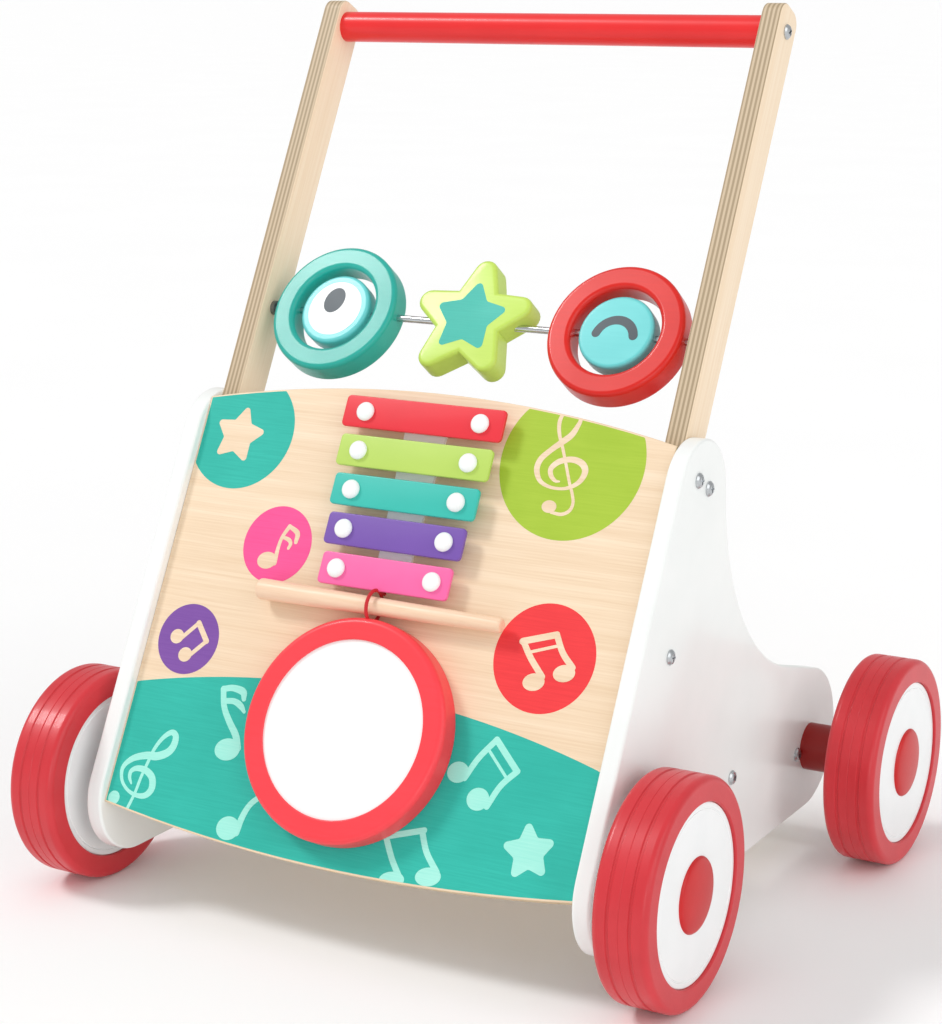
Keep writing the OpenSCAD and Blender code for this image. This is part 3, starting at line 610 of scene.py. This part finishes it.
for node, body in (("eye_disc", "eye_spinner"), ("wink_disc", "wink_spinner")):
    face, h = spinner(node), half_thick(node)
    low, high = face.span(node)
    r = (high[1] - low[1]) / 2
    ring = fillet([(0, -h), (r, -h), (r, h), (0, h)], (0, 2.0, 2.0, 0), 6)
    piece(f"{body}_disc", [turned(ring, face.origin, face.out, 120, False)], body,
          disc_teal, [node])
    back = Face(face.origin, -face.right, face.up)
    for where, spot in (("front", face), ("back", back)):
        if node == "eye_disc":
            piece(f"eye_white_{where}", [inked(spot, oval((0, 0), 17), h, 0.06)], body, eye_ink)
            piece(f"pupil_{where}", [inked(spot, oval((-1.9, 5.1), 6.4, 8.1, -14), h, 0.12)], body,
                  pupil_ink)
        else:
            # The wink is an arc over the middle, 27 mm wide and 14 mm high with its thickness
            a = np.radians(np.linspace(166, 14, 13))
            arc = np.stack([11.4 * np.cos(a), -4.6 + 11.4 * np.sin(a), np.full(13, 5.2)], 1)
            piece(f"wink_{where}", [inked_stroke(spot, arc, h, 0.06)], body, pupil_ink)

face, h = spinner("star"), half_thick("star")
outline = face.flat(outline_of("star", spin_out))
piece("star_block", [plate(face, outline, -h, h, 2.4, 7)], "star_spinner", star_lime, ["star"])
for where, spot in (("front", face), ("back", Face(face.origin, -face.right, face.up))):
    arms = star_shape((0, 0), 24, 90, 0.56, 2.4, 3.0)
    piece(f"star_print_{where}", [inked(spot, arms, h, 0.06)], "star_spinner", star_ink)

# ---------------------------------------------------------------- wheels

# One tyre groove as (depth, distance from the tyre's middle); the tyre has it on both sides
GROOVE = ((0.0, 5.0), (0.7, 5.5), (0.7, 6.7), (0.0, 7.2))
SHOULDER = 7.0

for where in ("front_left", "front_right", "rear_left", "rear_right"):
    sign = 1 if "right" in where else -1
    out = sign * ACROSS
    low, high = (np.array(v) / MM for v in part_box(f"{where}_tyre"))
    centre = mid(f"{where}_tyre")
    r1, w = (high[2] - low[2]) / 2, (high[0] - low[0]) / 2
    dlow, dhigh = (np.array(v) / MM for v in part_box(f"{where}_disc"))
    r0, d = (dhigh[2] - dlow[2]) / 2, (dhigh[0] - dlow[0]) / 2
    # Tyre: rounded shoulders, two shallow grooves and a parting line round the middle
    tread = [(r0 + 0.05, -w), (r1, -w)] + [(r1 - deep, -at) for deep, at in reversed(GROOVE)]
    tread += [(r1, -0.35), (r1 - 0.22, 0.0), (r1, 0.35)]
    tread += [(r1 - deep, at) for deep, at in GROOVE] + [(r1, w), (r0 + 0.05, w)]
    rounds = [0.8, SHOULDER, 0.3, 0.15, 0.15, 0.3, 0.15, 0, 0.15, 0.3, 0.15, 0.15, 0.3, SHOULDER, 0.8]
    piece(f"{where}_tyre_tread", [turned(fillet(tread, rounds, 6), centre, out, 160)], f"{where}_wheel",
          tyre_rubber, [f"{where}_tyre"])
    # Disc: a fine groove 3 mm inside the rim on both faces
    rim = [(4.4, -d), (r0 - 3.8, -d), (r0 - 3.6, -d + 0.4), (r0 - 3.1, -d + 0.4), (r0 - 2.9, -d), (r0, -d),
           (r0, d), (r0 - 2.9, d), (r0 - 3.1, d - 0.4), (r0 - 3.6, d - 0.4), (r0 - 3.8, d), (4.4, d)]
    section = fillet(rim, [0.2, 0.15, 0, 0, 0.15, 0.7, 0.7, 0.15, 0, 0, 0.15, 0.2], 4)
    piece(f"{where}_disc_face", [turned(section, centre, out, 144)], f"{where}_wheel",
          disc_white, [f"{where}_disc"])
    # Hub cap: a shallow dome with a rounded rim, on the disc's outer face
    low, high = (np.array(v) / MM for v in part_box(f"{where}_hub_cap"))
    hub_r, top = (high[2] - low[2]) / 2, abs(max(high[0], -low[0], key=abs)) - sign * centre[0] / MM
    rise = np.linspace(0, 1, 14)[:, None]
    dome = np.concatenate([(hub_r - 0.5) * np.sin(rise * np.pi / 2),
                           top - (top - d - 0.7) * (1 - np.cos(rise * np.pi / 2))], 1)
    skirt = [(hub_r - 0.12, d + 0.35), (hub_r, d + 0.05), (hub_r, d - 0.2), (0, d - 0.2)]
    cap = np.concatenate([dome, skirt])
    piece(f"{where}_hub_dome", [turned(cap, centre, out, 96, False)], f"{where}_wheel", hub_red,
          [f"{where}_hub_cap"])

# ---------------------------------------------------------------- keys and pins

for node, finish in key_finish.items():
    low, high = slope.span(node)
    outline = slope.flat(outline_of(node, panel_out))
    piece(f"{node}_bar", [plate(slope, outline, low[2], high[2], 0.7, 4)], "frame", finish, [node])


def pin_dome(x, s, low, high, r):
    """A domed pin head: radius r cos a, height (top - bottom) sin a, on a rounded foot."""
    a = np.linspace(0, np.pi / 2, 12)[:, None]
    dome = np.concatenate([r * np.cos(a) ** 0.9, low + 0.7 + (high - low - 0.7) * np.sin(a)], 1)
    ring = np.concatenate([[(0, low - 0.3), (r - 0.3, low - 0.3), (r - 0.05, low + 0.2)], dome])
    ring[-1, 0] = 0
    return turned(ring, slope.at((x, s), 0.0), panel_out, 48, False)


heads = []
rel = slope.flat(points("key_pins"))
out_mm = (points("key_pins") - slope.origin) @ panel_out / MM
for node in key_finish:
    low, high = slope.span(node)
    s = (low[1] + high[1]) / 2
    near = (abs(rel[:, 1] - s) < 7) & (out_mm > high[2] + 0.2)
    for sign in (1, -1):
        own = rel[near & (rel[:, 0] * sign > 0)]
        left, right = own[:, 0].min(), own[:, 0].max()
        x, r = (left + right) / 2, (right - left) / 2
        heads.append(pin_dome(x, s, high[2], out_mm.max(), r))
piece("key_pin_heads", heads, "frame", pin_white, ["key_pins"])

# ---------------------------------------------------------------- drum

low, high = slope.span("drum_ring")
drum_at = slope.at(((low[0] + high[0]) / 2, (low[1] + high[1]) / 2), 0.0)
skin_low, skin_high = slope.span("drum_skin")
r1 = (high[0] - low[0]) / 2
rel = slope.flat(points("drum_ring")) - slope.flat(drum_at)
r0 = np.hypot(*rel.T).min()
seat = (skin_high[0] - skin_low[0]) / 2
section = [(seat, low[2]), (r1, low[2]), (r1, high[2]), (r0, high[2]), (r0, skin_high[2]), (seat, skin_high[2])]
piece("drum_rim", [turned(fillet(section, [0, 0.8, 3.4, 1.0, 0.2, 0], 8), drum_at, panel_out, 160)], "frame",
      drum_red, ["drum_ring"])
film = fillet([(0, skin_low[2]), (seat - 0.1, skin_low[2]), (seat - 0.1, skin_high[2]), (0, skin_high[2])],
              (0, 0.2, 0.2, 0), 3)
piece("drum_film", [turned(film, drum_at, panel_out, 120, False)], "frame", skin_white,
      ["drum_skin"])

# ---------------------------------------------------------------- mallet and its loop

low, high = (np.array(v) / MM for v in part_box("mallet"))
body = points("mallet")
axis_mid = mid("mallet")
reach = np.hypot(*(body - axis_mid)[:, 1:].T) / MM
thick = reach[abs(body[:, 0] - low[0] * MM) < 0.004].max()
thin = reach[abs(body[:, 0] - high[0] * MM) < 0.004].max()
half = (high[0] - low[0]) / 2
stick = fillet([(0, -half), (thick, -half), (thin, half), (0, half)], (0, 2.2, 1.6, 0), 7)
piece("mallet_turned_stick", [turned(stick, axis_mid, ACROSS, 72, False)], "mallet_stick", beech,
      ["mallet"])


def braided(path, across, radius, strands=8, pitch=2.2, sides=16):
    """A cord along a path: a tube whose radius swells where its two opposite sets of strands cross over."""
    along = unit(np.gradient(path, axis=0))
    side = unit(across - (along @ across)[:, None] * along)
    up = np.cross(along, side)
    run = np.concatenate([[0], np.cumsum(np.linalg.norm(np.diff(path, axis=0), axis=1))]) / (pitch * MM)
    a = np.linspace(0, 2 * np.pi, sides, endpoint=False)[None]
    t = 2 * np.pi * run[:, None]
    swell = 0.94 + 0.06 * np.maximum(np.cos(strands / 2 * a + t), np.cos(strands / 2 * a - t))
    r = radius * MM * swell
    r = r * np.where((np.arange(len(path)) % (len(path) - 1)) == 0, 0.0, 1.0)[:, None]
    round_it = np.cos(a)[..., None] * side[:, None] + np.sin(a)[..., None] * up[:, None]
    return path[:, None] + r[..., None] * round_it, grid_faces(len(path), sides, False, True)


low, high = slope.span("mallet_loop")
cord_r = 1.0
loop_x = (low[0] + high[0]) / 2
mallet_flat = slope.flat(axis_mid)
mallet_out = (axis_mid - slope.origin) @ panel_out / MM
loop_r = high[1] - mallet_flat[1] - cord_r
a = np.linspace(0, 2 * np.pi, 90)
hoop_flat = np.stack([loop_x + 0.25 * np.sin(a), mallet_flat[1] + loop_r * np.cos(a)], 1)
hoop = slope.at(hoop_flat, mallet_out + loop_r * np.sin(a))
tail_s = mallet_flat[1] + loop_r
tail = slope.at(np.stack([np.full(30, loop_x), np.full(30, tail_s)], 1), np.linspace(-1.5, mallet_out, 30))
knot_a = np.linspace(0, np.pi, 12)
knot = np.stack([3.2 * np.sin(knot_a), -3.4 * np.cos(knot_a)], 1)
loop_shells = [braided(hoop, ACROSS, cord_r), braided(tail, ACROSS, cord_r),
               turned(knot, slope.at((loop_x, tail_s), low[2] + 3.4), panel_out, 24, False)]
piece("mallet_loop_cord", loop_shells, "frame", cord_red, ["mallet_loop"])

# ---------------------------------------------------------------- prints on the front board

above = panel_edge[panel_edge[:, 1] > panel_edge[:, 1].mean()]
below = panel_edge[panel_edge[:, 1] <= panel_edge[:, 1].mean()]
above, below = above[above[:, 0].argsort()], below[below[:, 0].argsort()]
BORDER = 1.1   # unprinted margin at the board's edges, in millimetres
GROUND_LIFT = 0.05   # how far the coloured grounds stand out; the marks on them stand at least 0.1 mm out


def on_board(flat):
    """Points outside the board's printed area moved to its border: first across, then up or down."""
    x = np.clip(flat[:, 0], panel_low[0] + BORDER, panel_high[0] - BORDER)
    s = np.clip(flat[:, 1], np.interp(x, *below.T) + BORDER, np.interp(x, *above.T) - BORDER)
    return np.stack([x, s], 1)


def blot(flat, lift):
    """An inked outline on the front board."""
    return inked(slope, flat, panel_mm, lift, on_board)


def pen(knots, lift, places=24):
    """An inked stroke on the front board."""
    return inked_stroke(slope, knots, panel_mm, lift, on_board, places)


def beamed(beam, left, right, left_head, right_head, width, beam_width, lift, thin=None):
    """Two joined notes: a beam, an optional second beam, two stems and two oval heads."""
    marks = [pen([(*p, beam_width) for p in beam], lift), pen([(*p, width) for p in left], lift + 0.01),
             pen([(*p, width) for p in right], lift + 0.02),
             blot(oval(left_head[:2], *left_head[2:], 12), lift + 0.08),
             blot(oval(right_head[:2], *right_head[2:], 12), lift + 0.09)]
    return marks + ([pen([(*p, width * 0.5) for p in thin], lift + 0.03)] if thin else [])


# The hill's brow is a parabola, highest just left of the middle
brow_x = np.linspace(panel_high[0], panel_low[0], 80)
BROW_TOP, BROW_FALL, BROW_LEFT = 147.6, 0.00086, 6
brow = np.stack([brow_x, BROW_TOP - BROW_FALL * (brow_x + BROW_LEFT) ** 2], 1)
foot = np.stack([brow_x[::-1], np.full(80, panel_low[1] - 5)], 1)
hill = np.concatenate([brow, foot])
piece("teal_print", [blot(hill, GROUND_LIFT), blot(oval((-119, 281), 34, n=160), GROUND_LIFT)], "frame",
      teal_ink)
piece("pink_print", [blot(oval((-77, 219), 22), GROUND_LIFT)], "frame", pink_ink)
piece("violet_print", [blot(oval((-119, 159), 20), GROUND_LIFT)], "frame", violet_ink)
piece("red_print", [blot(oval((100, 180), 29), GROUND_LIFT)], "frame", red_ink)
piece("lime_print", [blot(oval((90, 284), 42, n=160), GROUND_LIFT)], "frame", lime_ink)

# Marks left as bare veneer inside the coloured circles
clef = [(84.6, 256.5, 1.6), (90.7, 256.1, 1.9), (94.9, 258.6, 2.0), (95.9, 262.9, 1.8), (94.0, 268.2, 1.7),
        (91.7, 272.4, 1.7), (88.5, 279.3, 1.7), (86.0, 284.7, 1.7), (82.7, 291.6, 1.8), (79.3, 298.1, 2.0),
        (77.6, 303.6, 2.3), (77.7, 308.1, 2.3), (80.1, 312.9, 2.0), (86.3, 312.3, 2.0), (89.2, 308.1, 2.2),
        (88.4, 304.1, 2.8), (86.0, 299.0, 3.6), (81.1, 294.3, 3.6), (76.2, 289.8, 3.2), (71.5, 284.3, 3.4),
        (70.6, 278.5, 3.3), (73.9, 272.7, 2.4), (80.0, 270.0, 1.8), (87.3, 269.7, 1.7), (92.9, 271.4, 2.2),
        (97.3, 275.3, 3.0), (98.7, 280.4, 3.6), (96.3, 284.1, 3.6), (91.7, 285.8, 3.4), (86.9, 285.6, 3.2),
        (82.0, 283.7, 3.3), (78.7, 279.9, 3.0), (79.7, 276.1, 2.6), (82.7, 273.6, 1.8), (85.2, 273.4, 1.0)]
bare = [blot(star_shape((-121, 278.4), 18.5, 83.5), 0.1), pen(clef, 0.1, 240),
        blot(oval((82.7, 259.4), 4.3, 3.4), 0.17),
        blot(oval((-81.1, 209.4), 6.2, 4.8, 8), 0.16),
        pen([(-75.9, 208.5, 3.0), (-75.8, 218.6, 2.2), (-74.7, 224.2, 2.2), (-71.9, 230.1, 2.4)], 0.1),
        pen([(-71.9, 230.1, 2.2), (-65.9, 226.9, 3.0), (-65.4, 221.8, 2.4)], 0.12),
        pen([(-74.1, 223.5, 2.0), (-70.1, 222.4, 2.4), (-68.5, 220.3, 2.2), (-69.2, 217.8, 1.8)], 0.14)]
bare += beamed([(-114.7, 168.7), (-106.7, 159.4)], [(-114.7, 168.7), (-123.3, 159.3)],
               [(-106.7, 159.4), (-115.2, 150.3)], (-126.8, 159.4, 4.4, 4.1), (-118.5, 150.1, 4.4, 4.1),
               2.5, 3.3, 0.1)
bare += beamed([(85.6, 187.0), (104.1, 193.1)], [(86.1, 187.1), (92.5, 179.0), (101.2, 170.4)],
               [(104.1, 193.1), (109.7, 184.3), (117.0, 177.5)], (97.1, 167.0, 6.2, 4.6), (113.0, 173.9, 6.2, 4.5),
               3.4, 3.6, 0.1, [(89.4, 181.4), (105.5, 187.2)])
piece("bare_veneer_marks", bare, "frame", birch_board)

# Mint marks on the hill
swirl = [(-131.8, 56.0, 1.9), (-129.9, 60.9, 1.9), (-127.5, 70.2, 1.9), (-126.2, 79.3, 1.9), (-124.3, 87.8, 2.0),
         (-122.3, 95.7, 2.2), (-118.6, 102.5, 2.6), (-114.0, 106.3, 3.2), (-110.6, 104.8, 3.8), (-110.3, 99.7, 4.4),
         (-113.0, 95.2, 4.6), (-119.4, 92.0, 4.6), (-126.7, 91.2, 4.2), (-134.9, 88.1, 3.6), (-139.8, 82.4, 2.6),
         (-138.5, 75.8, 2.0), (-133.6, 71.1, 1.9), (-127.0, 68.9, 2.4), (-120.6, 69.7, 3.4), (-117.4, 74.0, 4.2),
         (-118.9, 79.8, 4.2), (-124.1, 83.1, 3.8), (-130.0, 83.4, 3.2), (-133.6, 81.4, 2.6), (-133.8, 78.0, 2.2),
         (-131.6, 74.6, 1.2)]
mint = [pen(swirl, 0.1, 200), blot(oval((-140.6, 65.1), 3.8), 0.1),
        blot(oval((-75.4, 103.1), 8.0, 6.1, 10), 0.18),
        pen([(-69.2, 104.8, 4.6), (-72.3, 111.4, 4.2), (-78.9, 118.5, 3.8), (-84.3, 125.7, 3.6),
             (-87.6, 135.1, 3.6)], 0.1),
        pen([(-87.6, 135.1, 3.4), (-81.6, 136.5, 3.6), (-74.7, 135.4, 4.2), (-72.9, 131.6, 2.8)], 0.12),
        pen([(-84.1, 128.9, 3.2), (-78.6, 129.4, 3.4), (-74.0, 127.7, 3.6), (-70.7, 124.8, 2.0)], 0.14),
        blot(oval((-62.4, 61.9), 7.3, 6.4, 8), 0.18),
        pen([(-56.6, 60.6, 4.2), (-55.3, 68.8, 3.8), (-52.7, 75.9, 3.4), (-48.0, 81.1, 3.2),
             (-43.2, 83.5, 3.0)], 0.1),
        blot(star_shape((115.9, 82.0), 17.2, 103, 0.5, 2.2, 1.8), 0.1)]
mint += beamed([(84.1, 134.6), (99.5, 120.6)], [(84.1, 134.6), (76.2, 123.6), (70.9, 112.3)],
               [(99.7, 120.7), (92.2, 111.8), (87.1, 100.2)], (66.4, 114.6, 6.2, 5.5), (81.2, 103.0, 6.4, 5.9),
               3.3, 3.5, 0.1, [(80.6, 129.0), (94.4, 116.4)])
mint += beamed([(33.2, 74.8), (55.1, 82.1)], [(34.1, 74.6), (40.6, 64.2), (47.9, 55.3)],
               [(53.9, 81.6), (59.3, 71.5), (67.8, 62.5)], (43.0, 53.9, 7.4, 4.3), (63.4, 59.4, 7.4, 4.8),
               3.4, 3.2, 0.1)
piece("mint_print", mint, "frame", mint_ink)

# ---------------------------------------------------------------- CAD nodes that stay

kept = {
    "handle_screws": nickel, "upright_screws": nickel, "frame_screws": nickel, "front_axle": steel,
    "rear_axle": steel, "front_spacers": spacer_red, "rear_spacers": spacer_red, "wheel_washers": steel,
    "axle_retainers": steel, "spinner_rod": steel, "rod_collars": collar_grey, "xylophone_base": strip_white,
    "key_pads": pad_rubber, "drum_hoop": hoop_wood,
}
for node, finish in kept.items():
    slots = nodes[node].data.materials
    if len(slots) == 0:
        slots.append(finish)
    for k in range(len(slots)):
        slots[k] = finish

# ---------------------------------------------------------------- studio

floor_mesh = bpy.data.meshes.new("studio_floor")
FLOOR_REACH, FLOOR_Z, FLOOR_ROWS = 400, -0.0002, 9
side = np.linspace(-FLOOR_REACH, FLOOR_REACH, FLOOR_ROWS)
gx, gy = np.meshgrid(side, side, indexing="ij")
floor_points = np.stack([gx.ravel(), gy.ravel(), np.full(gx.size, FLOOR_Z)], 1)
floor_mesh.from_pydata(floor_points.tolist(), [], grid_faces(FLOOR_ROWS, FLOOR_ROWS)[:, ::-1].tolist())
floor = bpy.data.objects.new("studio_floor", floor_mesh)
bpy.context.scene.collection.objects.link(floor)
floor_paint, tree, shader, place = begin("matt white floor", {"Roughness": 0.85, "Specular IOR Level": 0.2})
tone = add(tree, "ShaderNodeTexNoise", {"Vector": place}, {"Scale": 3.0})
shade = add(tree, "ShaderNodeMix", {0: tone.outputs[0]}, {6: ink("#FFFFFF"), 7: ink("#FCFCFC")},
            data_type="RGBA")
tree.links.new(shade.outputs[2], shader.inputs["Base Color"])
floor_mesh.materials.append(floor_paint)

world = bpy.data.worlds.new("white studio")
bpy.context.scene.world = world
world.use_nodes = True
sky = world.node_tree.nodes["Background"]
sky.inputs["Color"].default_value = (1.0, 1.0, 1.0, 1.0)
sky.inputs["Strength"].default_value = 0.6


def lamp(name, towards, strength, spread):
    """A soft distant lamp: the direction it stands in, its strength and the angle its light spreads over."""
    data = bpy.data.lights.new(name, "SUN")
    data.energy, data.angle = strength, np.radians(spread)
    obj = bpy.data.objects.new(name, data)
    obj.rotation_euler = (-Vector(towards)).to_track_quat("-Z", "Y").to_euler()
    bpy.context.scene.collection.objects.link(obj)


lamp("key_lamp", (-0.6, -0.3, 0.75), 1.25, 14)
lamp("fill_lamp", (0.85, -0.25, 0.45), 0.75, 50)
lamp("front_lamp", (0.45, -0.87, 0.2), 0.35, 24)

# The camera stands 30 degrees round to the right and looks down by 13 degrees
azimuth, tilt = np.radians(29.95), np.radians(12.92)
camera = bpy.data.objects.new("camera", bpy.data.cameras.new("camera"))
camera.data.sensor_width, camera.data.lens = 36.0, 81.57
camera.data.sensor_fit = "AUTO"
camera.location = (0.63688, -1.11234, 0.50244)
aim = Vector((-np.sin(azimuth) * np.cos(tilt), np.cos(azimuth) * np.cos(tilt), -np.sin(tilt)))
camera.rotation_euler = aim.to_track_quat("-Z", "Y").to_euler()
bpy.context.scene.collection.objects.link(camera)
bpy.context.scene.camera = camera
bpy.context.scene.view_settings.view_transform = "Standard"
